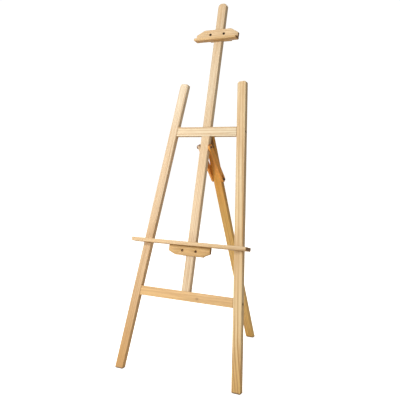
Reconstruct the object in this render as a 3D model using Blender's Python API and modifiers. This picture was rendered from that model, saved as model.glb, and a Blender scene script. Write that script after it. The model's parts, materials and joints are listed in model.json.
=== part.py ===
"""Wooden artist easel: two splayed front legs, a central mast, a folding rear leg on a butt hinge,
two slotted stays, a sliding canvas tray and a sliding top clamp.

Metres, +Z up, the front faces -Y. The front frame is drawn upright in its own local axes
(X across, Y from front face to back, Z up the slope) and an empty leans it back.
"""
import math

import bmesh
import bpy
from mathutils import Matrix, Vector

# ---- driving dimensions -------------------------------------------------------------------
GAP = 0.0003                  # clearance between touching faces
STOCK_WIDTH = 0.037           # planed pine strip used for legs, rails, mast and rear leg
STOCK_THICKNESS = 0.0185
EDGE_ROUND = 0.0015           # sanded edges of the pine strips

FRAME_LEAN = math.radians(14.82)     # front frame leans back from the vertical
LEG_SPLAY = math.radians(6.47)       # each front leg against the mast
FOOT_SPREAD = 0.5279                 # between the leg centre lines at the floor
LEG_RISE = 1.1685                    # heights below are measured up the leaning frame
UPPER_RAIL_HEIGHT = 0.9675
LOWER_RAIL_HEIGHT = 0.3184
MAST_TOP = 1.5015
TIP_RADIUS = 0.009                   # rounded corners of the leg tops
MAST_TIP_RADIUS = 0.014

REAR_OPENING = math.radians(36.4)    # rear leg against the front frame
HINGE_HEIGHT = 0.9456
HINGE_WIDTH = 0.036
LEAF_LENGTH = 0.042
LEAF_THICKNESS = 0.0018
KNUCKLE_RADIUS = 0.0032
KNUCKLE_OFFSET = 0.0035              # hinge pin behind the back face of the mast
PIN_RADIUS = 0.0016
KNUCKLES = 5

STAY_THICKNESS = 0.0075
STAY_WIDTH = 0.023
STAY_CLEARANCE = 0.0005              # side play between a stay and the members it straddles
STAY_TOP_HEIGHT = 0.906
REAR_TOP_CLEARANCE = 0.0025          # between the mast's back and the rear leg's oblique top
STAY_FOOT = 0.185                    # lower stay bolt, measured down the rear leg from the hinge
SLOT_HALF_WIDTH = 0.0045
SLOT_TRAVEL = 0.0205                 # way of the lower bolt in the slot as the easel folds

BOARD_HEIGHT = 0.5175
BOARD_LENGTH = 0.515
BOARD_DEPTH = 0.042
BOARD_THICKNESS = 0.015
BLOCK_THICKNESS = 0.012
BLOCK_STANDOFF = 0.0005              # sliding clearance in front of and behind the mast
TRAY_BLOCK_LENGTH = 0.188
TRAY_BLOCK_CHAMFER = (0.032, 0.0135)
BACK_BLOCK_LENGTH = 0.098
BOLT_SPACING = 0.061

CLAMP_HEIGHT = 1.368
CLAMP_BLOCK_LENGTH = 0.192
CLAMP_BLOCK_CHAMFER = (0.035, 0.0195)
LIP_DEPTH = 0.030
LIP_THICKNESS = 0.010

BOLT_RADIUS = 0.0025
BOLT_HEAD_RADIUS = 0.0048
HOLE_RADIUS = BOLT_RADIUS + GAP
COUNTERBORE_RADIUS = 0.0056
COUNTERBORE_DEPTH = 0.0055
SCREW_RADIUS = 0.0016
SCREW_HEAD_RADIUS = 0.0032
DOWEL_RADIUS = 0.003
DOWEL_LENGTH = 0.030
DOWEL_OFFSET = 0.0115                # either side of the rail bolt
RAIL_BOLT_LENGTH = 0.068
WASHER_THICKNESS = 0.0012
ROUND_STEPS = 16
HOLE_STEPS = 12

# ---- derived values -----------------------------------------------------------------------
HALF_WIDTH = STOCK_WIDTH / 2
MIDDLE = STOCK_THICKNESS / 2
LEG_LENGTH = LEG_RISE / math.cos(LEG_SPLAY)
PIN_Y = STOCK_THICKNESS + KNUCKLE_OFFSET
REAR_LEAN = REAR_OPENING - FRAME_LEAN
PIN_WORLD_Z = HINGE_HEIGHT * math.cos(FRAME_LEAN) - PIN_Y * math.sin(FRAME_LEAN)
PIN_WORLD_Y = HINGE_HEIGHT * math.sin(FRAME_LEAN) + PIN_Y * math.cos(FRAME_LEAN)
REAR_BACK = KNUCKLE_OFFSET + STOCK_THICKNESS
FOOTPRINT = PIN_WORLD_Y + PIN_WORLD_Z * math.tan(REAR_LEAN) + REAR_BACK / math.cos(REAR_LEAN)
REAR_LENGTH = PIN_WORLD_Z / math.cos(REAR_LEAN) + STOCK_THICKNESS

# turns that point a fastener's +Z axis, from its shank to its head
HEAD_UP = (0.0, 0.0, 0.0)
HEAD_DOWN = (math.pi, 0.0, 0.0)
HEAD_FRONT = (math.pi / 2, 0.0, 0.0)
HEAD_BACK = (-math.pi / 2, 0.0, 0.0)
HEAD_RIGHT = (0.0, math.pi / 2, 0.0)
HEAD_LEFT = (0.0, -math.pi / 2, 0.0)

COLOURS = {
    "pine": ((0.83, 0.62, 0.36, 1.0), 0.55, 0.0),
    "beech": ((0.72, 0.50, 0.29, 1.0), 0.5, 0.0),
    "zinc_steel": ((0.62, 0.62, 0.60, 1.0), 0.35, 1.0),
    "dark_steel": ((0.08, 0.07, 0.06, 1.0), 0.45, 1.0),
    "brass": ((0.55, 0.42, 0.22, 1.0), 0.35, 1.0),
}


# ---- scene and material helpers -----------------------------------------------------------
def clear_scene():
    for item in list(bpy.data.objects):
        bpy.data.objects.remove(item, do_unlink=True)


def make_collection(name):
    group = bpy.data.collections.new(name)
    bpy.context.scene.collection.children.link(group)
    return group


def make_material(part, kind):
    colour, roughness, metallic = COLOURS[kind]
    material = bpy.data.materials.new(part + "_" + kind)
    material.use_nodes = True
    shader = material.node_tree.nodes["Principled BSDF"]
    shader.inputs["Base Color"].default_value = colour
    shader.inputs["Roughness"].default_value = roughness
    shader.inputs["Metallic"].default_value = metallic
    return material


def empty(name, parent=None, location=(0, 0, 0), rotation=(0, 0, 0)):
    holder = bpy.data.objects.new(name, None)
    EASEL.objects.link(holder)
    holder.parent = parent
    holder.location = location
    holder.rotation_euler = rotation
    return holder


def add_part(name, mesh, kind, parent, location=(0, 0, 0), rotation=(0, 0, 0)):
    part = bpy.data.objects.new(name, mesh)
    part.data.materials.append(make_material(name, kind))
    EASEL.objects.link(part)
    part.parent = parent
    part.location = location
    part.rotation_euler = rotation
    return part


def add_cutter(name, mesh, parent, location=(0, 0, 0), rotation=(0, 0, 0)):
    cutter = bpy.data.objects.new(name, mesh)
    CUTTERS.objects.link(cutter)
    cutter.parent = parent
    cutter.location = location
    cutter.rotation_euler = rotation
    cutter.hide_render = True
    cutter.display_type = "WIRE"
    return cutter


def boolean(part, tool, operation="DIFFERENCE"):
    modifier = part.modifiers.new(operation.lower() + "_" + tool.name, "BOOLEAN")
    modifier.operation = operation
    modifier.solver = "EXACT"
    modifier.object = tool


def round_edges(part, width=EDGE_ROUND, segments=1):
    modifier = part.modifiers.new("sanded_edges", "BEVEL")
    modifier.width = width
    modifier.segments = segments
    modifier.limit_method = "ANGLE"
    modifier.angle_limit = math.radians(40)


# ---- shape helpers ------------------------------------------------------------------------
def box_mesh(name, low, high):
    """A box between two corners."""
    low = Vector(low)
    high = Vector(high)
    shape = bmesh.new()
    bmesh.ops.create_cube(shape, size=1.0)
    bmesh.ops.scale(shape, vec=high - low, verts=shape.verts)
    bmesh.ops.translate(shape, vec=(low + high) / 2, verts=shape.verts)
    mesh = bpy.data.meshes.new(name)
    shape.to_mesh(mesh)
    shape.free()
    return mesh


def rod_mesh(name, radius, low, high, steps=ROUND_STEPS):
    """A cylinder along Z between two heights."""
    shape = bmesh.new()
    middle = Matrix.Translation((0, 0, (low + high) / 2))
    bmesh.ops.create_cone(shape, cap_ends=True, segments=steps, radius1=radius, radius2=radius,
                          depth=high - low, matrix=middle)
    mesh = bpy.data.meshes.new(name)
    shape.to_mesh(mesh)
    shape.free()
    mesh.shade_smooth()
    mesh.set_sharp_from_angle(angle=math.radians(40))
    return mesh


def turned_mesh(name, profile, ring=False, steps=ROUND_STEPS):
    """A profile of (radius, height) turned about Z. A solid profile starts and ends on the axis
    and runs from top to bottom. A ring is a closed profile that runs down its outer side."""
    shape = bmesh.new()
    points = [shape.verts.new((radius, 0, height)) for radius, height in profile]
    for first, second in zip(points, points[1:]):
        shape.edges.new((first, second))
    if ring:
        shape.edges.new((points[-1], points[0]))
    draft = bpy.data.meshes.new(name + "_profile")
    shape.to_mesh(draft)
    shape.free()
    holder = bpy.data.objects.new(name + "_profile", draft)
    CUTTERS.objects.link(holder)
    screw = holder.modifiers.new("turn", "SCREW")
    screw.steps = steps
    screw.render_steps = steps
    screw.use_merge_vertices = True
    screw.merge_threshold = 0.00001
    mesh = bpy.data.meshes.new_from_object(holder.evaluated_get(bpy.context.evaluated_depsgraph_get()))
    bpy.data.objects.remove(holder, do_unlink=True)
    mesh.name = name
    mesh.shade_smooth()
    mesh.set_sharp_from_angle(angle=math.radians(40))
    return mesh


def arc(centre, radius, start, end, steps=5):
    """Points on an arc, with angles in degrees."""
    points = []
    for index in range(steps + 1):
        angle = math.radians(start + (end - start) * index / steps)
        points.append((centre[0] + radius * math.cos(angle), centre[1] + radius * math.sin(angle)))
    return points


def plate_mesh(name, outlines, front, back):
    """A flat plate in the XZ plane between two Y planes. Outlines after the first are holes."""
    curve = bpy.data.curves.new(name, "CURVE")
    curve.dimensions = "2D"
    curve.fill_mode = "BOTH"
    curve.extrude = (back - front) / 2
    for outline in outlines:
        spline = curve.splines.new("POLY")
        spline.points.add(len(outline) - 1)
        for point, (across, height) in zip(spline.points, outline):
            point.co = (across, height, 0, 1)
        spline.use_cyclic_u = True
    holder = bpy.data.objects.new(name + "_outline", curve)
    CUTTERS.objects.link(holder)
    mesh = bpy.data.meshes.new_from_object(holder.evaluated_get(bpy.context.evaluated_depsgraph_get()))
    bpy.data.objects.remove(holder, do_unlink=True)
    mesh.name = name
    upright = Matrix.Translation((0, (front + back) / 2, 0)) @ Matrix.Rotation(math.pi / 2, 4, "X")
    shape = bmesh.new()
    shape.from_mesh(mesh)
    bmesh.ops.remove_doubles(shape, verts=shape.verts, dist=0.00001)
    bmesh.ops.dissolve_limit(shape, angle_limit=math.radians(0.5), verts=shape.verts, edges=shape.edges)
    bmesh.ops.transform(shape, matrix=upright, verts=shape.verts)
    bmesh.ops.recalc_face_normals(shape, faces=shape.faces)
    shape.to_mesh(mesh)
    shape.free()
    return mesh


def strip_outline(low, high, tip_radius):
    """A stock-width strip standing on its square end, with rounded corners at the top."""
    left = arc((tip_radius - HALF_WIDTH, high - tip_radius), tip_radius, 180, 90)
    right = arc((HALF_WIDTH - tip_radius, high - tip_radius), tip_radius, 90, 0)
    return [(-HALF_WIDTH, low)] + left + right + [(HALF_WIDTH, low)]


def block_outline(length, height, chamfer, sign):
    """A block whose two top (sign 1) or bottom (sign -1) corners are cut off."""
    half = length / 2
    cut_across, cut_up = chamfer
    return [(-half, -sign * height / 2), (half, -sign * height / 2),
            (half, sign * (height / 2 - cut_up)), (half - cut_across, sign * height / 2),
            (cut_across - half, sign * height / 2), (-half, sign * (height / 2 - cut_up))]


# ---- fasteners ----------------------------------------------------------------------------
def bolt_mesh(name, length, head_radius=BOLT_HEAD_RADIUS, head_height=0.0032, radius=BOLT_RADIUS):
    """A button-head bolt. Z 0 is the underside of the head."""
    profile = [(0, head_height), (head_radius * 0.72, head_height), (head_radius, head_height * 0.45),
               (head_radius, 0), (radius, 0), (radius, -length), (0, -length)]
    return turned_mesh(name, profile)


def screw_mesh(name, length):
    """A countersunk wood screw. Z 0 is the top of its head."""
    profile = [(0, 0), (SCREW_HEAD_RADIUS, 0), (SCREW_RADIUS, -0.0016),
               (SCREW_RADIUS, 0.003 - length), (0, -length)]
    return turned_mesh(name, profile, steps=12)


def drill(targets, name, radius, low, high, parent, location, rotation):
    """A straight hole through every target."""
    tool = add_cutter(name, rod_mesh(name, radius, low, high, HOLE_STEPS), parent, location, rotation)
    for target in targets:
        boolean(target, tool)


def add_screw(name, length, targets, parent, location, rotation, kind="zinc_steel"):
    """A countersunk screw with its stepped hole in every target."""
    hole = [(0, 0.002), (SCREW_HEAD_RADIUS + GAP, 0.002), (SCREW_HEAD_RADIUS + GAP, 0),
            (SCREW_RADIUS + GAP, -0.0016 - GAP), (SCREW_RADIUS + GAP, -length - GAP), (0, -length - GAP)]
    tool = add_cutter(name + "_hole", turned_mesh(name + "_hole", hole, steps=12), parent, location,
                      rotation)
    for target in targets:
        boolean(target, tool)
    return add_part(name, screw_mesh(name, length), kind, parent, location, rotation)


def washer_mesh(name, outer=0.0065, thickness=WASHER_THICKNESS):
    inner = HOLE_RADIUS
    return turned_mesh(name, [(outer, thickness), (outer, 0), (inner, 0), (inner, thickness)], ring=True)


def add_wing_nut(name, parent, location, rotation):
    """A turned hub with two rounded wings. Z 0 is the face that meets the washer."""
    hub_profile = [(0.0048, 0.0012), (0.0048, 0), (HOLE_RADIUS, 0), (HOLE_RADIUS, 0.0075),
                   (0.0040, 0.0075)]
    nut = add_part(name, turned_mesh(name, hub_profile, ring=True), "zinc_steel", parent, location,
                   rotation)
    for side in (-1, 1):
        wing = [(side * 0.0034, 0.0010), (side * 0.0072, 0.0022)]
        wing += [(side * x, z) for x, z in arc((0.0085, 0.0085), 0.0028, -60, 120, 6)]
        wing += [(side * 0.0034, 0.0066)]
        label = name + ("_left_wing" if side < 0 else "_right_wing")
        tool = add_cutter(label, plate_mesh(label, [wing], -0.0010, 0.0010), parent, location, rotation)
        boolean(nut, tool, "UNION")
    return nut


# ---- front frame --------------------------------------------------------------------------
def leg_inner_edge(height):
    """Distance from the middle plane to a front leg's inner edge at a height up the frame."""
    centre = FOOT_SPREAD / 2 - height * math.tan(LEG_SPLAY)
    return centre - HALF_WIDTH / math.cos(LEG_SPLAY)


def add_front_leg(name, side, frame):
    outline = strip_outline(-0.02, LEG_LENGTH, TIP_RADIUS)
    mesh = plate_mesh(name, [outline], 0, STOCK_THICKNESS)
    leg = add_part(name, mesh, "pine", frame, (side * FOOT_SPREAD / 2, 0, 0), (0, -side * LEG_SPLAY, 0))
    boolean(leg, FLOOR)
    round_edges(leg)
    return leg


def add_rail(name, height, frame):
    low = height - HALF_WIDTH
    high = height + HALF_WIDTH
    bottom = leg_inner_edge(low) - GAP
    top = leg_inner_edge(high) - GAP
    outline = [(-bottom, -HALF_WIDTH), (bottom, -HALF_WIDTH), (top, HALF_WIDTH), (-top, HALF_WIDTH)]
    rail = add_part(name, plate_mesh(name, [outline], 0, STOCK_THICKNESS), "pine", frame, (0, 0, height))
    round_edges(rail, EDGE_ROUND / 2)
    notch = box_mesh(name + "_notch", (-HALF_WIDTH - GAP, MIDDLE, -STOCK_WIDTH),
                     (HALF_WIDTH + GAP, STOCK_WIDTH, STOCK_WIDTH))
    boolean(rail, add_cutter(name + "_notch", notch, frame, (0, 0, height)))
    return rail


def add_mast(frame):
    """The mast lies flush with both rails: its front half is cut away where they cross it."""
    low = LOWER_RAIL_HEIGHT - HALF_WIDTH
    outline = strip_outline(low, MAST_TOP, MAST_TIP_RADIUS)
    mast = add_part("mast", plate_mesh("mast", [outline], 0, STOCK_THICKNESS), "pine", frame)
    round_edges(mast)
    for name, height, below in (("upper", UPPER_RAIL_HEIGHT, HALF_WIDTH + GAP),
                                ("lower", LOWER_RAIL_HEIGHT, STOCK_WIDTH)):
        label = "mast_" + name + "_notch"
        notch = box_mesh(label, (-STOCK_WIDTH, -STOCK_WIDTH, -below),
                         (STOCK_WIDTH, MIDDLE + GAP, HALF_WIDTH + GAP))
        boolean(mast, add_cutter(label, notch, frame, (0, 0, height)))
    return mast


def add_rail_fixings(rail_name, rail, height, side, leg, frame):
    """A bolt through the leg into the rail's end, with a dowel above and below it."""
    label = rail_name + ("_left" if side < 0 else "_right")
    turn = HEAD_LEFT if side < 0 else HEAD_RIGHT
    outer = leg_inner_edge(height) + STOCK_WIDTH / math.cos(LEG_SPLAY)
    seat = (side * (outer - COUNTERBORE_DEPTH), MIDDLE, height)
    add_part(label + "_bolt", bolt_mesh(label + "_bolt", RAIL_BOLT_LENGTH), "dark_steel", frame, seat,
             turn)
    drill([leg], label + "_bolt_head_hole", COUNTERBORE_RADIUS, -GAP, 0.02, frame, seat, turn)
    drill([leg, rail], label + "_bolt_hole", HOLE_RADIUS, -RAIL_BOLT_LENGTH - GAP, 0.01, frame, seat,
          turn)
    for place, offset in (("upper", DOWEL_OFFSET), ("lower", -DOWEL_OFFSET)):
        dowel_height = height + offset
        spot = (side * leg_inner_edge(dowel_height), MIDDLE, dowel_height)
        name = label + "_" + place + "_dowel"
        half = DOWEL_LENGTH / 2
        add_part(name, rod_mesh(name, DOWEL_RADIUS, -half, half, 10), "beech", frame, spot, turn)
        drill([leg, rail], name + "_hole", DOWEL_RADIUS + GAP, -half - GAP, half + GAP, frame, spot,
              turn)


# ---- hinge --------------------------------------------------------------------------------
def hinge_leaf_outline(direction, outer_fingers):
    """A plate whose fingers reach the pin only at this leaf's own knuckles."""
    pitch = HINGE_WIDTH / KNUCKLES
    root = KNUCKLE_RADIUS + 0.0006
    points = []
    for index in range(KNUCKLES):
        own = (index % 2 == 0) == outer_fingers
        reach = 0.0 if own else root
        inset = GAP / 2 if own else -GAP / 2
        left = index * pitch - HINGE_WIDTH / 2 + (inset if index else 0.0)
        right = (index + 1) * pitch - HINGE_WIDTH / 2 - (inset if index < KNUCKLES - 1 else 0.0)
        points += [(left, direction * reach), (right, direction * reach)]
    return points + [(HINGE_WIDTH / 2, direction * LEAF_LENGTH), (-HINGE_WIDTH / 2, direction * LEAF_LENGTH)]


def add_hinge_leaf(name, parent, direction, front, outer_fingers):
    outline = hinge_leaf_outline(direction, outer_fingers)
    leaf = add_part(name, plate_mesh(name, [outline], front, front + LEAF_THICKNESS), "brass", parent)
    pitch = HINGE_WIDTH / KNUCKLES
    for index in range(0 if outer_fingers else 1, KNUCKLES, 2):
        label = name + "_knuckle_" + str(index + 1)
        left = index * pitch - HINGE_WIDTH / 2 + (GAP / 2 if index else 0.0)
        right = (index + 1) * pitch - HINGE_WIDTH / 2 - (GAP / 2 if index < KNUCKLES - 1 else 0.0)
        boolean(leaf, add_cutter(label, rod_mesh(label, KNUCKLE_RADIUS, left, right), parent,
                                 rotation=HEAD_RIGHT), "UNION")
    drill([leaf], name + "_pin_hole", PIN_RADIUS + GAP, -HINGE_WIDTH, HINGE_WIDTH, parent, (0, 0, 0),
          HEAD_RIGHT)
    return leaf


def add_hinge(frame, rear, mast, upper_rail, rear_leg):
    pin_place = (0, PIN_Y, HINGE_HEIGHT)
    axis = empty("hinge_axis", frame, pin_place)
    half = HINGE_WIDTH / 2
    pin = [(0, half + 0.0012), (0.0026, half + 0.0008), (0.0026, half + GAP), (PIN_RADIUS, half + GAP),
           (PIN_RADIUS, -half - 0.0008), (0, -half - 0.0008)]
    add_part("hinge_pin", turned_mesh("hinge_pin", pin), "brass", axis, rotation=HEAD_RIGHT)
    mast_leaf = add_hinge_leaf("hinge_mast_leaf", axis, 1, GAP - KNUCKLE_OFFSET, True)
    leg_leaf = add_hinge_leaf("hinge_leg_leaf", rear, -1, KNUCKLE_OFFSET - GAP - LEAF_THICKNESS, False)
    spots = ((-0.011, 0.012), (0.011, 0.012), (0.0, 0.030))
    for index, (across, along) in enumerate(spots):
        back_of_leaf = GAP - KNUCKLE_OFFSET + LEAF_THICKNESS
        front_of_leaf = KNUCKLE_OFFSET - GAP - LEAF_THICKNESS
        add_screw("hinge_mast_screw_" + str(index + 1), 0.015, [mast_leaf, mast, upper_rail], axis,
                  (across, back_of_leaf, along), HEAD_BACK, "brass")
        add_screw("hinge_leg_screw_" + str(index + 1), 0.015, [leg_leaf, rear_leg], rear,
                  (across, front_of_leaf, -along), HEAD_FRONT, "brass")


# ---- rear leg and stays -------------------------------------------------------------------
def add_rear_leg(rear):
    """Its top runs past the hinge and is cut obliquely, parallel to the mast of the opened easel."""
    ahead = KNUCKLE_OFFSET - REAR_TOP_CLEARANCE
    low, high = [(ahead + face * math.cos(REAR_OPENING)) / math.sin(REAR_OPENING)
                 for face in (KNUCKLE_OFFSET, REAR_BACK)]
    blunt = (high - low) / 6
    outline = [(KNUCKLE_OFFSET, -REAR_LENGTH), (REAR_BACK, -REAR_LENGTH), (REAR_BACK, high - blunt),
               (REAR_BACK - STOCK_THICKNESS / 6, high - blunt), (KNUCKLE_OFFSET, low)]
    mesh = plate_mesh("rear_leg", [outline], -HALF_WIDTH, HALF_WIDTH)
    mesh.transform(Matrix.Rotation(math.pi / 2, 4, "Z"))
    leg = add_part("rear_leg", mesh, "pine", rear)
    boolean(leg, FLOOR)
    round_edges(leg)
    return leg


def stay_lower_bolt_place():
    """Lower stay bolt in the front frame's own Y and Z."""
    down = STAY_FOOT
    back = KNUCKLE_OFFSET + MIDDLE
    y = PIN_Y + down * math.sin(REAR_OPENING) + back * math.cos(REAR_OPENING)
    z = HINGE_HEIGHT - down * math.cos(REAR_OPENING) + back * math.sin(REAR_OPENING)
    return y, z


def stay_outline(reach):
    """Round-ended bar hanging from its upper bolt, with a bolt hole and a slot whose lower end
    stops the lower bolt at its reach."""
    radius = STAY_WIDTH / 2
    body = arc((0, 0), radius, 0, 180, 7) + arc((0, -reach), radius, 180, 360, 7)
    hole = arc((0, 0), HOLE_RADIUS, 0, 330, HOLE_STEPS - 1)
    play = SLOT_HALF_WIDTH - BOLT_RADIUS - GAP
    low = play - reach
    high = SLOT_TRAVEL - reach - play
    slot = arc((0, high), SLOT_HALF_WIDTH, 0, 180, 6) + arc((0, low), SLOT_HALF_WIDTH, 180, 360, 6)
    return [body, hole, slot]


def add_stays(frame, rear, mast, rear_leg):
    low_y, low_z = stay_lower_bolt_place()
    hang = math.atan2(low_y - MIDDLE, STAY_TOP_HEIGHT - low_z)
    reach = math.hypot(low_y - MIDDLE, STAY_TOP_HEIGHT - low_z)
    top = empty("stay_axis", frame, (0, MIDDLE, STAY_TOP_HEIGHT), (hang, 0, 0))
    inner = HALF_WIDTH + STAY_CLEARANCE
    outer = inner + STAY_THICKNESS
    for name, side in (("stay_left", -1), ("stay_right", 1)):
        mesh = plate_mesh(name, stay_outline(reach), -STAY_THICKNESS / 2, STAY_THICKNESS / 2)
        mesh.transform(Matrix.Rotation(math.pi / 2, 4, "Z"))
        stay = add_part(name, mesh, "pine", top, (side * (inner + outer) / 2, 0, 0))
        round_edges(stay, EDGE_ROUND / 2)
    add_upper_stay_bolt(frame, mast, outer)
    add_lower_stay_bolt(rear, rear_leg, outer)


def add_upper_stay_bolt(frame, mast, outer):
    """Bolt through the mast, with its head on the right and a round clamping knob on the left."""
    axis = empty("upper_stay_bolt_axis", frame, (0, MIDDLE, STAY_TOP_HEIGHT))
    add_part("upper_stay_washer", washer_mesh("upper_stay_washer", 0.0055), "zinc_steel", axis,
             (outer + GAP, 0, 0), HEAD_RIGHT)
    seat = outer + 2 * GAP + WASHER_THICKNESS
    knob_face = outer + GAP
    add_part("upper_stay_bolt", bolt_mesh("upper_stay_bolt", seat + knob_face + 0.006, 0.0042, 0.0030),
             "dark_steel", axis, (seat, 0, 0), HEAD_RIGHT)
    drill([mast], "upper_stay_bolt_hole", HOLE_RADIUS, -STOCK_WIDTH, STOCK_WIDTH, axis, (0, 0, 0),
          HEAD_RIGHT)
    knob = [(0, 0.0090), (0.0060, 0.0090), (0.0078, 0.0076), (0.0082, 0.0050), (0.0078, 0.0022),
            (0.0056, 0), (HOLE_RADIUS, 0), (HOLE_RADIUS, 0.0064), (0, 0.0064)]
    add_part("stay_knob", turned_mesh("stay_knob", knob), "brass", axis, (-knob_face, 0, 0), HEAD_LEFT)


def add_lower_stay_bolt(rear, rear_leg, outer):
    """Bolt through the rear leg and both stay slots, with a nut on the left."""
    axis = empty("lower_stay_bolt_axis", rear, (0, KNUCKLE_OFFSET + MIDDLE, -STAY_FOOT))
    seat = outer + GAP + WASHER_THICKNESS + GAP
    for name, place, turn in (("lower_stay_washer_right", outer + GAP, HEAD_RIGHT),
                              ("lower_stay_washer_left", -outer - GAP, HEAD_LEFT)):
        add_part(name, washer_mesh(name, 0.0060), "zinc_steel", axis, (place, 0, 0), turn)
    add_part("lower_stay_bolt", bolt_mesh("lower_stay_bolt", 2 * seat + 0.0038), "dark_steel", axis,
             (seat, 0, 0), HEAD_RIGHT)
    corner = HOLE_RADIUS / math.cos(math.pi / 6)
    nut = turned_mesh("lower_stay_nut", [(0.0046, 0.0045), (0.0046, 0), (corner, 0),
                                         (corner, 0.0045)], ring=True, steps=6)
    nut.shade_flat()
    add_part("lower_stay_nut", nut, "dark_steel", axis, (-seat, 0, 0), HEAD_LEFT)
    drill([rear_leg], "lower_stay_bolt_hole", HOLE_RADIUS, -STOCK_WIDTH, STOCK_WIDTH, axis, (0, 0, 0),
          HEAD_RIGHT)


# ---- sliding clamps -----------------------------------------------------------------------
def add_sliding_clamp(prefix, slide, block_length, chamfer, sign, bolt_height):
    """Front and back block on the mast, pulled together by two bolts that pass beside it."""
    back_face = STOCK_THICKNESS + BLOCK_STANDOFF
    outline = block_outline(block_length, STOCK_WIDTH, chamfer, sign)
    front_name = prefix + "_front_block"
    front = add_part(front_name, plate_mesh(front_name, [outline], -BLOCK_STANDOFF - BLOCK_THICKNESS,
                                            -BLOCK_STANDOFF), "pine", slide)
    round_edges(front)
    back_name = prefix + "_back_block"
    back = add_part(back_name, box_mesh(back_name, (-BACK_BLOCK_LENGTH / 2, back_face, -HALF_WIDTH),
                                        (BACK_BLOCK_LENGTH / 2, back_face + BLOCK_THICKNESS, HALF_WIDTH)),
                    "pine", slide)
    round_edges(back)
    seat_y = -BLOCK_STANDOFF - BLOCK_THICKNESS + COUNTERBORE_DEPTH
    washer_y = back_face + BLOCK_THICKNESS + GAP
    nut_y = washer_y + WASHER_THICKNESS + GAP
    shank = nut_y + 0.010 - seat_y
    for name, side in (("left", -1), ("right", 1)):
        across = side * BOLT_SPACING / 2
        label = prefix + "_" + name
        seat = (across, seat_y, bolt_height)
        add_part(label + "_bolt", bolt_mesh(label + "_bolt", shank), "dark_steel", slide, seat, HEAD_FRONT)
        drill([front], label + "_bolt_head_hole", COUNTERBORE_RADIUS, -GAP, 0.02, slide, seat,
              HEAD_FRONT)
        drill([front, back], label + "_bolt_hole", HOLE_RADIUS, -shank, 0.01, slide, seat, HEAD_FRONT)
        add_part(label + "_washer", washer_mesh(label + "_washer"), "zinc_steel", slide,
                 (across, washer_y, bolt_height), HEAD_BACK)
        add_wing_nut(label + "_wing_nut", slide, (across, nut_y, bolt_height), HEAD_BACK)
    return front


def add_tray(frame):
    block_height = BOARD_HEIGHT - BOARD_THICKNESS / 2 - GAP - HALF_WIDTH
    slide = empty("tray_slide", frame, (0, 0, block_height))
    block = add_sliding_clamp("tray", slide, TRAY_BLOCK_LENGTH, TRAY_BLOCK_CHAMFER, -1, 0.0)
    low = HALF_WIDTH + GAP
    board = add_part("tray_board", box_mesh("tray_board",
                                            (-BOARD_LENGTH / 2, -BLOCK_STANDOFF - BOARD_DEPTH, low),
                                            (BOARD_LENGTH / 2, -BLOCK_STANDOFF, low + BOARD_THICKNESS)),
                     "pine", slide)
    round_edges(board)
    for name, side in (("left", -1), ("right", 1)):
        add_screw("tray_board_screw_" + name, 0.035, [board, block], slide,
                  (side * 0.062, -BLOCK_STANDOFF - BLOCK_THICKNESS / 2, low + BOARD_THICKNESS - GAP),
                  HEAD_UP)


def add_top_clamp(frame):
    slide = empty("top_clamp_slide", frame, (0, 0, CLAMP_HEIGHT))
    block = add_sliding_clamp("clamp", slide, CLAMP_BLOCK_LENGTH, CLAMP_BLOCK_CHAMFER, 1, -0.002)
    high = -HALF_WIDTH - GAP
    lip = add_part("clamp_lip", box_mesh("clamp_lip",
                                         (-CLAMP_BLOCK_LENGTH / 2, -LIP_DEPTH, high - LIP_THICKNESS),
                                         (CLAMP_BLOCK_LENGTH / 2, -BLOCK_STANDOFF, high)), "pine", slide)
    round_edges(lip)
    for name, side in (("left", -1), ("right", 1)):
        add_screw("clamp_lip_screw_" + name, 0.028, [lip, block], slide,
                  (side * 0.062, -BLOCK_STANDOFF - BLOCK_THICKNESS / 2, high - LIP_THICKNESS + GAP),
                  HEAD_DOWN)


def add_lower_crossing_screw(frame, mast, rail):
    add_screw("lower_crossing_screw", 0.015, [mast, rail], frame,
              (0, STOCK_THICKNESS - GAP, LOWER_RAIL_HEIGHT), HEAD_BACK)


def build_easel():
    frame = empty("front_frame_lean", location=(0, -FOOTPRINT / 2, 0), rotation=(-FRAME_LEAN, 0, 0))
    rear = empty("rear_leg_pivot", frame, (0, PIN_Y, HINGE_HEIGHT), (REAR_OPENING, 0, 0))
    legs = {-1: add_front_leg("left_leg", -1, frame), 1: add_front_leg("right_leg", 1, frame)}
    upper_rail = add_rail("upper_rail", UPPER_RAIL_HEIGHT, frame)
    lower_rail = add_rail("lower_rail", LOWER_RAIL_HEIGHT, frame)
    mast = add_mast(frame)
    for name, rail, height in (("upper_rail", upper_rail, UPPER_RAIL_HEIGHT),
                               ("lower_rail", lower_rail, LOWER_RAIL_HEIGHT)):
        for side in (-1, 1):
            add_rail_fixings(name, rail, height, side, legs[side], frame)
    add_lower_crossing_screw(frame, mast, lower_rail)
    rear_leg = add_rear_leg(rear)
    add_hinge(frame, rear, mast, upper_rail, rear_leg)
    add_stays(frame, rear, mast, rear_leg)
    add_tray(frame)
    add_top_clamp(frame)


clear_scene()
EASEL = make_collection("wooden_artist_easel")
CUTTERS = make_collection("cutters")
FLOOR = add_cutter("floor", box_mesh("floor", (-1, -1, -0.2), (1, 1, 0)), None)
build_easel()
bpy.context.view_layer.update()
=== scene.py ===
import json
import math
import random

import bmesh
import bpy
from mathutils import Matrix, Vector


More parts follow.
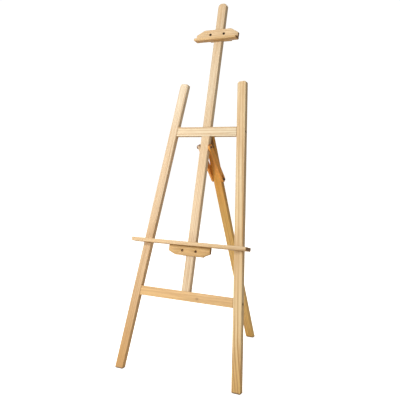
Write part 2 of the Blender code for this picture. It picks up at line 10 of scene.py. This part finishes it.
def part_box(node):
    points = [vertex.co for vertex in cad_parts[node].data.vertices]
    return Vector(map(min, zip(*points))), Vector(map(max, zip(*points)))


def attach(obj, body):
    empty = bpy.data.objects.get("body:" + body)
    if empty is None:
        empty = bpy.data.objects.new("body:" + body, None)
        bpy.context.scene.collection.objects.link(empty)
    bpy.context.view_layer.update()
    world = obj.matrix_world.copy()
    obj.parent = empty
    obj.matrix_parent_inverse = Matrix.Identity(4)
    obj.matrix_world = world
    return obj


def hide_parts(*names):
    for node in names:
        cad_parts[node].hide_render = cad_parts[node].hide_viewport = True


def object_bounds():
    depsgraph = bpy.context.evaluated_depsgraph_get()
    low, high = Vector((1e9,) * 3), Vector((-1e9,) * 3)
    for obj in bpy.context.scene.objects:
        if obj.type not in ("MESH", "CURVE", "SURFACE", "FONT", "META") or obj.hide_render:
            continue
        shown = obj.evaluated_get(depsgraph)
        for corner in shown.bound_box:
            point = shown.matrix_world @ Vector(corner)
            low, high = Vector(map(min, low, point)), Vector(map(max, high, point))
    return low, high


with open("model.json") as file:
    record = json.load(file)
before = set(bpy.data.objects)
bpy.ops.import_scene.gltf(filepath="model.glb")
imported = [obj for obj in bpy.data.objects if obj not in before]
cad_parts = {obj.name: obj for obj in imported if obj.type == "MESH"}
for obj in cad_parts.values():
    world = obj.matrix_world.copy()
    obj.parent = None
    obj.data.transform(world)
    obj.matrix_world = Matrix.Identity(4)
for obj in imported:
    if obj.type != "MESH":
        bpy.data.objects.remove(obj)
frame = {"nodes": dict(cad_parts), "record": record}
cad_low, cad_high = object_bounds()

NODES = frame["nodes"]
RECORD = frame["record"]
BODY_OF = {node: body for body, nodes in RECORD["behaviour"]["bodies"].items() for node in nodes}
SLOT_OF = {part["node"]: part["material_slot"] for part in RECORD["subparts"]}
HEIGHT = cad_high.z
MERGE_DISTANCE = 0.00002            # points of a CAD mesh that are closer than this are one point

# ---- view ---------------------------------------------------------------------------------
CAMERA_AZIMUTH = math.radians(31.31)
CAMERA_DOWN = math.radians(5.50)
CAMERA_ROLL = math.radians(-0.34)
CAMERA_EYE = (0.9257, -1.6079, 0.6315)      # in heights of the easel
CAMERA_LENS = 59.54
SENSOR = 36.0


def add_camera():
    data = bpy.data.cameras.new("camera")
    data.lens = CAMERA_LENS
    data.sensor_width = SENSOR
    camera = bpy.data.objects.new("camera", data)
    aim = Matrix.Rotation(CAMERA_AZIMUTH, 4, "Z") @ Matrix.Rotation(math.pi / 2 - CAMERA_DOWN, 4, "X")
    aim = aim @ Matrix.Rotation(CAMERA_ROLL, 4, "Z")
    eye = Vector([share * HEIGHT for share in CAMERA_EYE])
    camera.matrix_world = Matrix.Translation(eye) @ aim
    bpy.context.scene.collection.objects.link(camera)
    bpy.context.scene.camera = camera


# ---- node helpers -------------------------------------------------------------------------
class Tree:
    """One material and short calls that add nodes to it. Most of them return the node's output."""

    def __init__(self, name):
        self.material = bpy.data.materials.new(name)
        self.material.use_nodes = True
        self.nodes = self.material.node_tree.nodes
        self.links = self.material.node_tree.links
        self.shader = self.nodes["Principled BSDF"]

    def add(self, kind, inputs=(), **settings):
        node = self.nodes.new(kind)
        for name, value in settings.items():
            setattr(node, name, value)
        for socket, value in inputs:
            self.put(node, socket, value)
        return node

    def put(self, node, socket, value):
        if isinstance(value, bpy.types.NodeSocket):
            self.links.new(value, node.inputs[socket])
        else:
            node.inputs[socket].default_value = value

    def math(self, operation, first, second=0.0):
        return self.add("ShaderNodeMath", [(0, first), (1, second)], operation=operation).outputs[0]

    def mix(self, amount, first, second, blend="MIX"):
        node = self.add("ShaderNodeMix", [(0, amount), (6, first), (7, second)], data_type="RGBA",
                        blend_type=blend)
        return node.outputs[2]

    def ramp(self, value, low, high, low_out=0.0, high_out=1.0, smooth=True):
        kind = "SMOOTHSTEP" if smooth else "LINEAR"
        node = self.add("ShaderNodeMapRange", [(0, value), (1, low), (2, high), (3, low_out), (4, high_out)],
                        interpolation_type=kind)
        return node.outputs[0]

    def noise(self, vector, scale, detail=2.0, roughness=0.5):
        node = self.add("ShaderNodeTexNoise", [("Vector", vector), ("Scale", scale), ("Detail", detail),
                                               ("Roughness", roughness)])
        return node.outputs[0]

    def mapping(self, vector, location=(0, 0, 0), rotation=(0, 0, 0), scale=(1, 1, 1)):
        node = self.add("ShaderNodeMapping", [("Vector", vector), ("Location", location),
                                              ("Rotation", rotation), ("Scale", scale)])
        return node.outputs[0]

    def part(self, vector, letter):
        return self.add("ShaderNodeSeparateXYZ", [(0, vector)]).outputs[letter]

    def bump(self, relief, strength, distance):
        node = self.add("ShaderNodeBump", [("Strength", strength), ("Distance", distance),
                                           ("Height", relief)])
        self.put(self.shader, "Normal", node.outputs["Normal"])


# ---- studio -------------------------------------------------------------------------------
WHITE = (1.0, 1.0, 1.0, 1.0)
FILL_COLOUR = (1.0, 0.92, 0.80, 1.0)
FILL_STRENGTH = 0.32
BACKDROP_STRENGTH = 1.05
FLOOR_RADIUS = 9.0
FLOOR_COLOUR = (0.90, 0.90, 0.90, 1.0)
FLOOR_ROUGHNESS = 0.9
FLOOR_GLOW = 0.80                   # seen only by the camera, so that the floor fades into the backdrop
LIGHTS = {                          # metres and watts
    "key": {"place": (-2.3, -3.3, 1.95), "target": (0, 0, 0.75), "size": 1.5, "power": 136,
            "colour": (1.0, 0.97, 0.92)},
    "back": {"place": (-1.3, 3.2, 2.6), "target": (0, 0, 0.7), "size": 2.0, "power": 60,
             "colour": (1.0, 0.96, 0.90)},
    "top": {"place": (0.2, -0.6, 3.6), "target": (0, 0, 0), "size": 2.4, "power": 18,
            "colour": (1.0, 1.0, 1.0)},
}


def add_light(name, place, target, size, power, colour):
    data = bpy.data.lights.new(name, "AREA")
    data.shape = "SQUARE"
    data.size = size
    data.energy = power
    data.color = colour
    light = bpy.data.objects.new(name, data)
    light.location = place
    light.rotation_euler = (Vector(target) - Vector(place)).to_track_quat("-Z", "Y").to_euler()
    bpy.context.scene.collection.objects.link(light)


def add_world():
    """Dim fill for the object, plain white for the camera."""
    world = bpy.data.worlds.new("studio")
    world.use_nodes = True
    nodes, links = world.node_tree.nodes, world.node_tree.links
    fill = nodes["Background"]
    fill.inputs["Color"].default_value = FILL_COLOUR
    fill.inputs["Strength"].default_value = FILL_STRENGTH
    white = nodes.new("ShaderNodeBackground")
    white.inputs["Color"].default_value = WHITE
    white.inputs["Strength"].default_value = BACKDROP_STRENGTH
    path = nodes.new("ShaderNodeLightPath")
    mix = nodes.new("ShaderNodeMixShader")
    links.new(path.outputs["Is Camera Ray"], mix.inputs["Fac"])
    links.new(fill.outputs["Background"], mix.inputs[1])
    links.new(white.outputs["Background"], mix.inputs[2])
    links.new(mix.outputs["Shader"], nodes["World Output"].inputs["Surface"])
    bpy.context.scene.world = world


def add_floor():
    shape = bmesh.new()
    bmesh.ops.create_circle(shape, cap_ends=True, segments=96, radius=FLOOR_RADIUS)
    mesh = bpy.data.meshes.new("studio_floor")
    shape.to_mesh(mesh)
    shape.free()
    floor = bpy.data.objects.new("studio_floor", mesh)
    bpy.context.scene.collection.objects.link(floor)
    tree = Tree("studio_floor")
    seen = tree.add("ShaderNodeLightPath").outputs["Is Camera Ray"]
    tree.put(tree.shader, "Base Color", FLOOR_COLOUR)
    tree.put(tree.shader, "Roughness", FLOOR_ROUGHNESS)
    tree.put(tree.shader, "Emission Color", WHITE)
    tree.put(tree.shader, "Emission Strength", tree.math("MULTIPLY", seen, FLOOR_GLOW))
    mesh.materials.append(tree.material)


def add_studio():
    bpy.context.scene.view_settings.view_transform = "Standard"
    add_world()
    add_floor()
    for name, light in LIGHTS.items():
        add_light(name, **light)


# ---- pine ---------------------------------------------------------------------------------
PALE = (0.82, 0.67, 0.46, 1.0)
HONEY = (0.70, 0.45, 0.19, 1.0)
# Partly the stays' own orange wood and partly painted orange bounce light in the shade between the mast and
# the rear leg.
RUSSET = (0.92, 0.40, 0.065, 1.0)
HEART = (0.72, 0.46, 0.21, 1.0)
LATEWOOD = (0.50, 0.29, 0.115, 1.0)
# Partly the darker end grain of pine and partly painted shade on the ends of the planks.
SHADED_END_GRAIN = (0.30, 0.175, 0.10, 1.0)
KNOT = (0.17, 0.075, 0.028, 1.0)
# Painted contact shadow where a foot meets the floor.
CONTACT_SHADE = (0.12, 0.08, 0.06, 1.0)
UNDERSIDE = (0.64, 0.49, 0.29, 1.0)

RING_SPACING = 0.0062
WAVE_PERIOD = math.tau / 20         # ring spacing of the wave texture at scale 1
RING_STRETCH = 0.04                 # how fast the rings change along the plank against across it
RING_WOBBLE = [("Distortion", 2.2), ("Detail", 2.0), ("Detail Scale", 0.35)]
PITH_ASIDE = (0.012, 0.034)         # the pith's place from the plank's middle, least and most
PITH_BEHIND = (0.018, 0.045)
PITH_ALONG = (-2, 2)
PITH_TILT = ((-0.02, 0.02), (-0.012, 0.012))        # radians about X and about Y
BEND_SCALE = (6, 6, 1.1)            # slow waves in the rings: size, and how far they reach
BEND_SIDEWAYS = 0.02
BEND_INWARDS = 0.014
YEAR_STRETCH = 0.02                 # some years' rings are stronger than others
YEAR_SCALE = 60.0

# A layer of noise: how fast it changes along the plank against across it, scale, detail, roughness.
FIBRE = (0.018, 900.0, 2.0, 0.6)
STREAK = (0.03, 130.0, 2.0, 0.55)
BLOTCH = (0.25, 16.0, 2.0, 0.5)

# Heights above the floor, from where a change starts to where it is full.
TONE_HEIGHTS = (1.35, 0.05)
FIGURE_HEIGHTS = (0.27, 0.03)
FLARE_HEIGHTS = (0.19, -0.06)       # it ends below the floor, so it is never quite full
CONTACT_SHADE_HEIGHTS = (0.008, 0.003)

LATEWOOD_STRENGTH = 0.72
STREAK_STRENGTH = 0.50
FIBRE_STRENGTH = 0.22
BLOTCH_STRENGTH = 0.30
SHADED_END_GRAIN_STRENGTH = 0.9
UNDERSIDE_STRENGTH = 0.8
CONTACT_SHADE_STRENGTH = 0.85
KNOT_HALO_STRENGTH = 0.40
KNOT_CORE_STRENGTH = 0.26
KNOT_RIM_STRENGTH = 0.55
KNOT_LENGTHENING = 0.62             # a knot's width over its length along the grain
WOOD_SHINE = (0.46, 0.62)           # least and most roughness
WOOD_SPECULAR = 0.35
WOOD_RELIEF = {"strength": 0.25, "distance": 0.0004}

UPWARDS = Vector((0.3, 0.1, 1.0))   # a grain's direction is turned to this side
BACKWARDS = Vector((0.1, 1.0, 0.2))
SOFT_EDGE = 0.0012
SOLE_HEIGHT = 0.0003                # a foot's points below this height stand on the floor
RIM_HEIGHT = 0.004                  # those of its chamfer lie below this one
FOOT_SOFTENING = 0.0024


def longest_edge(shape):
    """The direction of the longest edge, or of the first one where several are as long."""
    edge = max(shape.edges, key=lambda e: (round(e.calc_length(), 5), -e.index))
    return (edge.verts[1].co - edge.verts[0].co).normalized()


def widest_face(shape):
    """The direction that the largest face looks in, or the first one where several are as large."""
    return max(shape.faces, key=lambda f: (round(f.calc_area(), 7), -f.index)).normal.copy()


def grain_axes(shape):
    """World to plank: X across the width, Y through the thickness, Z along the grain."""
    along = longest_edge(shape)
    if along.dot(UPWARDS) < 0:
        along.negate()
    through = widest_face(shape)
    through = (through - along * through.dot(along)).normalized()
    if through.dot(BACKWARDS) < 0:
        through.negate()
    across = through.cross(along)
    return Matrix((across, through, along))


def growth_rings(tree, plank, pith, tilt, height, rings, flare):
    """How much latewood there is, in rings round a pith that runs beside the plank."""
    leaning = tree.mapping(plank, pith, tilt)
    bend = tree.math("SUBTRACT", tree.noise(tree.mapping(leaning, scale=BEND_SCALE), 1.0, 1.0), 0.5)
    sideways = tree.math("ADD", tree.math("MULTIPLY", bend, BEND_SIDEWAYS),
                         tree.ramp(height, *FLARE_HEIGHTS, 0.0, flare))
    inwards = tree.math("MULTIPLY", bend, BEND_INWARDS)
    shift = tree.add("ShaderNodeCombineXYZ", [(0, sideways), (1, inwards)]).outputs[0]
    bent = tree.add("ShaderNodeVectorMath", [(0, leaning), (1, shift)], operation="ADD").outputs[0]
    squashed = tree.mapping(bent, scale=(1, 1, RING_STRETCH))
    wave = tree.add("ShaderNodeTexWave", [("Vector", squashed), ("Scale", WAVE_PERIOD / rings), *RING_WOBBLE],
                    wave_type="RINGS", rings_direction="Z", wave_profile="SAW").outputs["Fac"]
    rise = tree.ramp(wave, 0.35, 0.90)
    fall = tree.ramp(wave, 0.93, 1.0, 1.0, 0.0)
    year = tree.noise(tree.mapping(bent, scale=(1, 1, YEAR_STRETCH)), YEAR_SCALE, 1.0)
    return tree.math("MULTIPLY", tree.math("MULTIPLY", rise, fall), tree.ramp(year, 0.25, 0.75, 0.35, 1.0))


def layer(tree, plank, pith, stretch, scale, detail, roughness):
    """One of the layers of noise above."""
    return tree.noise(tree.mapping(plank, pith, scale=(1, 1, stretch)), scale, detail, roughness)


def end_grain_and_painted_shade(tree, colour, normal, along, height):
    """Dark end grain deepened with painted shade, painted shade on undersides that see less light, and a
    painted contact shadow where a foot meets the floor.
    """
    facing = tree.add("ShaderNodeVectorMath", [(0, normal), (1, along)],
                      operation="DOT_PRODUCT").outputs["Value"]
    end = tree.ramp(tree.math("ABSOLUTE", facing), 0.75, 0.97, 0.0, SHADED_END_GRAIN_STRENGTH)
    colour = tree.mix(end, colour, SHADED_END_GRAIN, "MULTIPLY")
    down = tree.ramp(tree.part(normal, "Z"), -0.48, -0.85, 0.0, UNDERSIDE_STRENGTH)
    colour = tree.mix(down, colour, UNDERSIDE, "MULTIPLY")
    return tree.mix(tree.ramp(height, *CONTACT_SHADE_HEIGHTS, 0.0, CONTACT_SHADE_STRENGTH), colour, CONTACT_SHADE)


def add_knot(tree, colour, plank, streak, across, along, size):
    """A knot with a thin dark rim, in a halo of darker wood."""
    stretch = KNOT_LENGTHENING / size
    spot = tree.mapping(plank, (-across / size, 0, -along * stretch), scale=(1 / size, 0, stretch))
    far = tree.add("ShaderNodeVectorMath", [(0, spot)], operation="LENGTH").outputs["Value"]
    far = tree.math("ADD", far, tree.math("MULTIPLY", tree.math("SUBTRACT", streak, 0.5), 0.5))
    colour = tree.mix(tree.ramp(far, 0.8, 2.6, KNOT_HALO_STRENGTH, 0.0), colour, LATEWOOD)
    core = tree.ramp(far, 0.75, 1.0, KNOT_CORE_STRENGTH, 0.0)
    rim = tree.math("MULTIPLY", tree.ramp(far, 0.55, 0.85, 0.0, KNOT_RIM_STRENGTH),
                    tree.ramp(far, 0.9, 1.15, 1.0, 0.0))
    return tree.mix(tree.math("MAXIMUM", core, rim), colour, KNOT)


def wood_material(name, axes, centre, upper=PALE, lower=HONEY, tone=0.0, figure=1.0, foot_figure=None,
                  knots=(), stain_and_shade=None, rings=RING_SPACING, flare=0.0):
    """Sawn pine, paler or darker from the easel's top (upper) to its foot (lower).

    tone: how much heartwood shows. figure, foot_figure: strength of the rings, and at the floor.
    knots: place across and along the plank, and radius. stain: start height, full height and colour of a band
    of colour; at the rear leg's top it is painted shade and painted orange bounce light.
    rings: their spacing. flare: how far the rings swing sideways towards the floor.
    """
    luck = random.Random(name)
    side = luck.choice((-1, 1))
    pith = (side * luck.uniform(*PITH_ASIDE), luck.uniform(*PITH_BEHIND), luck.uniform(*PITH_ALONG))
    tilt = (luck.uniform(*PITH_TILT[0]), luck.uniform(*PITH_TILT[1]), 0)

    tree = Tree(name)
    coordinates = tree.add("ShaderNodeTexCoord").outputs
    place, normal = coordinates["Object"], coordinates["Normal"]
    plank = tree.mapping(place, -(axes @ centre), axes.to_euler())
    height = tree.part(place, "Z")
    late = growth_rings(tree, plank, pith, tilt, height, rings, flare)
    fibre, streak, blotch = [layer(tree, plank, pith, *sizes) for sizes in (FIBRE, STREAK, BLOTCH)]

    colour = tree.mix(tree.ramp(height, *TONE_HEIGHTS, smooth=False), upper, lower)
    # A band of colour by height; at the rear leg's top it is painted shade and painted orange bounce light.
    if stain_and_shade:
        start, full, stain_and_shade_colour = stain_and_shade
        colour = tree.mix(tree.ramp(height, start, full), colour, stain_and_shade_colour)
    colour = tree.mix(tree.ramp(blotch, 0.3, 0.72, tone, BLOTCH_STRENGTH + tone), colour, HEART)
    strength = tree.ramp(height, *FIGURE_HEIGHTS, figure, foot_figure or figure)
    ringed = tree.math("MULTIPLY", late, tree.math("MULTIPLY", strength, LATEWOOD_STRENGTH))
    colour = tree.mix(ringed, colour, LATEWOOD)
    colour = tree.mix(tree.ramp(streak, 0.42, 0.8, 0.0, STREAK_STRENGTH * figure), colour, LATEWOOD)
    colour = tree.mix(tree.ramp(fibre, 0.42, 0.75, 0.0, FIBRE_STRENGTH), colour, LATEWOOD, "MULTIPLY")
    colour = end_grain_and_painted_shade(tree, colour, normal, axes[2], height)
    for knot in knots:
        colour = add_knot(tree, colour, plank, streak, *knot)

    tree.put(tree.shader, "Base Color", colour)
    tree.put(tree.shader, "Roughness", tree.ramp(fibre, 0.3, 0.8, *WOOD_SHINE))
    tree.put(tree.shader, "Specular IOR Level", WOOD_SPECULAR)
    relief = tree.math("ADD", tree.math("MULTIPLY", fibre, 0.5), tree.math("MULTIPLY", late, -0.4))
    tree.bump(relief, **WOOD_RELIEF)
    return tree.material


def soften_foot(shape, along):
    """Widens the chamfer round a foot that stands on the floor, so that its corners look rubbed down by use.
    """
    sole = [vert for vert in shape.verts if vert.co.z < SOLE_HEIGHT]
    rim = [vert for vert in shape.verts if SOLE_HEIGHT <= vert.co.z < RIM_HEIGHT]
    if not sole:
        return
    centre = sum((vert.co for vert in sole), Vector()) / len(sole)
    for vert in sole:
        vert.co.x -= math.copysign(FOOT_SOFTENING, vert.co.x - centre.x)
        vert.co.y -= math.copysign(FOOT_SOFTENING, vert.co.y - centre.y)
    for vert in rim:
        vert.co += along * FOOT_SOFTENING


def round_edges(piece, name, width, least_angle):
    bevel = piece.modifiers.new(name, "BEVEL")
    bevel.width = width
    bevel.segments = 2
    bevel.limit_method = "ANGLE"
    bevel.angle_limit = math.radians(least_angle)
    bevel.harden_normals = True


def add_plank(node, edge=SOFT_EDGE, **wood):
    """A wooden node's own shape with softly rounded edges and pine grain that follows its length."""
    shape = bmesh.new()
    shape.from_mesh(NODES[node].data)
    bmesh.ops.remove_doubles(shape, verts=shape.verts, dist=MERGE_DISTANCE)
    bmesh.ops.dissolve_limit(shape, angle_limit=math.radians(1), verts=shape.verts, edges=shape.edges)
    axes = grain_axes(shape)
    soften_foot(shape, axes[2])
    mesh = bpy.data.meshes.new(node + "_pine")
    shape.to_mesh(mesh)
    shape.free()
    plank = bpy.data.objects.new(node + "_pine", mesh)
    bpy.context.scene.collection.objects.link(plank)
    low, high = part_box(node)
    mesh.materials.append(wood_material(node + "_pine", axes, (low + high) / 2, **wood))
    round_edges(plank, "soft_edges", edge, 36)
    mesh.shade_smooth()
    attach(plank, BODY_OF[node])
    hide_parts(node)


def even(colour):
    """The same tone from top to bottom."""
    return {"upper": colour, "lower": colour}


PLANKS = {
    "left_leg": {"upper": (0.89, 0.84, 0.70, 1.0), "lower": (0.58, 0.34, 0.13, 1.0)},
    "right_leg": {"upper": (0.70, 0.565, 0.36, 1.0), "lower": (0.82, 0.64, 0.36, 1.0),
                  "stain_and_shade": (0.24, 0.0, (0.68, 0.46, 0.16, 1.0)),
                  "figure": 1.3, "foot_figure": 2.6, "rings": 0.0090, "flare": -0.020},
    "upper_rail": {**even((0.81, 0.71, 0.52, 1.0)), "figure": 1.2},
    "mast": {"upper": (0.76, 0.66, 0.49, 1.0), "lower": (0.82, 0.67, 0.48, 1.0),
             "stain_and_shade": (1.27, 1.40, (0.68, 0.55, 0.38, 1.0))},
    "lower_rail": {"upper": (0.75, 0.53, 0.265, 1.0), "knots": [(0.004, 0.055, 0.0036)]},
    # The rear leg's darker, redder top, in its upper colour and in its band, is painted shade and painted
    # orange bounce light beneath the upper rail and the mast.
    "rear_leg": {"upper": (0.66, 0.36, 0.09, 1.0), "lower": (0.85, 0.56, 0.145, 1.0),
                 "stain_and_shade": (0.56, 0.76, (0.63, 0.28, 0.014, 1.0))},
    "stay_left": {**even(RUSSET), "stain_and_shade": (0.845, 0.868, (0.80, 0.64, 0.46, 1.0))},
    "stay_right": even(RUSSET),
    "tray_board": {**even((0.76, 0.59, 0.37, 1.0)), "edge": 0.002},
    "tray_front_block": even((0.62, 0.41, 0.16, 1.0)),
    "tray_back_block": {},
    "clamp_front_block": {"upper": (0.76, 0.60, 0.39, 1.0)},
    "clamp_back_block": {},
    # The lip's darker, more golden tone is partly its own wood and partly painted shade, the orange shade
    # where it crosses the mast.
    "clamp_lip": {"upper": (0.71, 0.51, 0.27, 1.0)},
}

# ---- finish of the hardware, and a painted highlight on the knob --------------------------
METALS = {
    "zinc_steel": {"colour": (0.62, 0.61, 0.58, 1), "dull": (0.40, 0.40, 0.39, 1), "roughness": 0.28,
                   "metallic": 1.0, "grain": 1500},
    "dark_steel": {"colour": (0.05, 0.03, 0.018, 1), "dull": (0.025, 0.016, 0.01, 1), "roughness": 0.55,
                   "metallic": 0.2, "grain": 1500},
    "brass": {"colour": (0.38, 0.26, 0.14, 1), "dull": (0.20, 0.125, 0.06, 1), "roughness": 0.36,
              "metallic": 0.85, "grain": 1200},
}
BROWNED_BOLTS = ("upper_stay_bolt", "tray_left_bolt", "tray_right_bolt")
BROWNED = {"colour": (0.24, 0.11, 0.035, 1), "dull": (0.12, 0.06, 0.025, 1), "roughness": 0.55,
           "metallic": 0.2, "grain": 1500}
METAL_STAIN = (260.0, 3.0, 0.6)     # scale, detail and roughness of a noise
KNOB_STAIN = (400.0, 3.0, 0.6)
ROUGHNESS_SPREAD = 0.22
METAL_RELIEF = {"strength": 0.15, "distance": 0.0001}
KNOB_BROWN = (0.11, 0.06, 0.038, 1.0)
KNOB_HIGHLIGHT = (0.60, 0.42, 0.31, 1.0)
KNOB_BAND = (0.0008, 0.0018)        # from the knob's middle, where its painted highlight band starts to fade and ends
KNOB_HIGHLIGHT_STRENGTH = 0.9
KNOB_METALLIC = 0.35
KNOB_SHINE = (0.38, 0.55)           # least and most roughness
DOWEL_AXES = Matrix(((0, 1, 0), (0, 0, 1), (1, 0, 0)))      # a dowel's grain runs along X
DOWEL_TONE = 0.3


def metal_material(name, colour, dull, roughness, metallic, grain):
    """Metal with dull stains and fine scratches."""
    tree = Tree(name + "_surface")
    place = tree.add("ShaderNodeTexCoord").outputs["Object"]
    stain_and_shade = tree.noise(place, *METAL_STAIN)
    fine = tree.noise(place, grain, 3.0, 0.65)
    tree.put(tree.shader, "Base Color", tree.mix(tree.ramp(stain_and_shade, 0.35, 0.7), colour, dull))
    tree.put(tree.shader, "Roughness", tree.ramp(fine, 0.3, 0.75, roughness, roughness + ROUGHNESS_SPREAD))
    tree.put(tree.shader, "Metallic", metallic)
    tree.bump(fine, **METAL_RELIEF)
    return tree.material


def knob_material(node):
    """Dark brown turned knob with a painted highlight, a paler band round its middle."""
    tree = Tree(node + "_surface")
    place = tree.add("ShaderNodeTexCoord").outputs["Object"]
    low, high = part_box(node)
    offset = tree.math("ABSOLUTE", tree.math("SUBTRACT", tree.part(place, "X"), (low.x + high.x) / 2))
    stain_and_shade = tree.noise(place, *KNOB_STAIN)
    ragged = tree.math("ADD", offset, tree.math("MULTIPLY", stain_and_shade, 0.001))
    # Painted highlight: a paler band round the knob's middle, darker towards its two faces.
    highlight_band = tree.ramp(ragged, *KNOB_BAND, KNOB_HIGHLIGHT_STRENGTH, 0.0)
    tree.put(tree.shader, "Base Color", tree.mix(highlight_band, KNOB_BROWN, KNOB_HIGHLIGHT))
    tree.put(tree.shader, "Roughness", tree.ramp(stain_and_shade, 0.3, 0.7, *KNOB_SHINE))
    tree.put(tree.shader, "Metallic", KNOB_METALLIC)
    return tree.material


def dowel_material(node):
    low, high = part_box(node)
    return wood_material(node + "_beech", DOWEL_AXES, (low + high) / 2, tone=DOWEL_TONE)


def paint_hardware():
    metals = {slot: metal_material(slot, **look) for slot, look in METALS.items()}
    for node, slot in SLOT_OF.items():
        if node == "stay_knob":
            finish = knob_material(node)
        elif node in BROWNED_BOLTS:
            finish = metal_material(node, **BROWNED)
        elif slot in metals:
            finish = metals[slot]
        elif slot == "beech":
            finish = dowel_material(node)
        else:
            continue
        for place in NODES[node].material_slots:
            place.material = finish


# ---- shape of the hardware ----------------------------------------------------------------
RECESS_RADIUS = 0.0021
HEXAGON_DEPTH = 0.0016
CROSS_DEPTH = 0.0012
CROSS_ARM = 0.22                    # half an arm's width, as a share of the radius
CROSS_TAPER = 0.45                  # an arm's reach at its lower end, as a share of the radius
BROKEN_EDGE = 0.00035


def hexagon_prism(radius, depth):
    shape = bmesh.new()
    bmesh.ops.create_cone(shape, cap_ends=True, segments=6, radius1=radius, radius2=radius, depth=2 * depth)
    return shape


def cross_prism(radius, depth):
    """A plus-shaped prism whose arms get shorter downwards, the shape of a cross recess."""
    shape = bmesh.new()
    half = CROSS_ARM * radius
    rings = []
    for height, reach in ((-depth, CROSS_TAPER * radius), (depth, radius)):
        ring = []
        for turn in range(4):
            spin = Matrix.Rotation(turn * math.pi / 2, 3, "Z")
            for x, y in ((reach, -half), (reach, half), (half, half)):
                ring.append(shape.verts.new(spin @ Vector((x, y, height))))
        rings.append(ring)
    lower, upper = rings
    shape.faces.new(reversed(lower))
    shape.faces.new(upper)
    for here in range(len(lower)):
        after = (here + 1) % len(lower)
        shape.faces.new((lower[here], lower[after], upper[after], upper[here]))
    return shape


def head_of(node):
    """The direction from a turned fastener's tip to its head, and the middle of the head's top."""
    shape = bmesh.new()
    shape.from_mesh(NODES[node].data)
    bmesh.ops.remove_doubles(shape, verts=shape.verts, dist=MERGE_DISTANCE)
    along = longest_edge(shape)
    points = [vert.co.copy() for vert in shape.verts]
    shape.free()
    low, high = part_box(node)
    centre = (low + high) / 2
    middle = sum(points, Vector()) / len(points)
    if (middle - centre).dot(along) < 0:
        along.negate()
    top = max(point.dot(along) for point in points)
    return along, centre + along * (top - centre.dot(along))


def add_recess(node, prism, depth):
    """Cuts a driver recess into the head of a CAD fastener with a modifier."""
    along, top = head_of(node)
    shape = prism(RECESS_RADIUS, depth)
    aim = along.to_track_quat("Z", "Y").to_matrix().to_4x4()
    bmesh.ops.transform(shape, matrix=Matrix.Translation(top) @ aim, verts=shape.verts)
    mesh = bpy.data.meshes.new(node + "_recess")
    shape.to_mesh(mesh)
    shape.free()
    cutter = bpy.data.objects.new(node + "_recess", mesh)
    bpy.context.scene.collection.objects.link(cutter)
    cutter.hide_render = True
    cutter.hide_viewport = True
    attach(cutter, BODY_OF[node])
    cut = NODES[node].modifiers.new("recess", "BOOLEAN")
    cut.object = cutter
    cut.solver = "EXACT"


def soften_metal(node):
    weld = NODES[node].modifiers.new("weld", "WELD")
    weld.merge_threshold = MERGE_DISTANCE
    round_edges(NODES[node], "broken_edges", BROKEN_EDGE, 38)


def shape_hardware():
    for node, slot in SLOT_OF.items():
        if slot in METALS:
            soften_metal(node)
        if node.endswith("_bolt"):
            add_recess(node, hexagon_prism, HEXAGON_DEPTH)
        if "screw" in node:
            add_recess(node, cross_prism, CROSS_DEPTH)


add_camera()
add_studio()
for plank_node, choices in PLANKS.items():
    add_plank(plank_node, **choices)
paint_hardware()
shape_hardware()
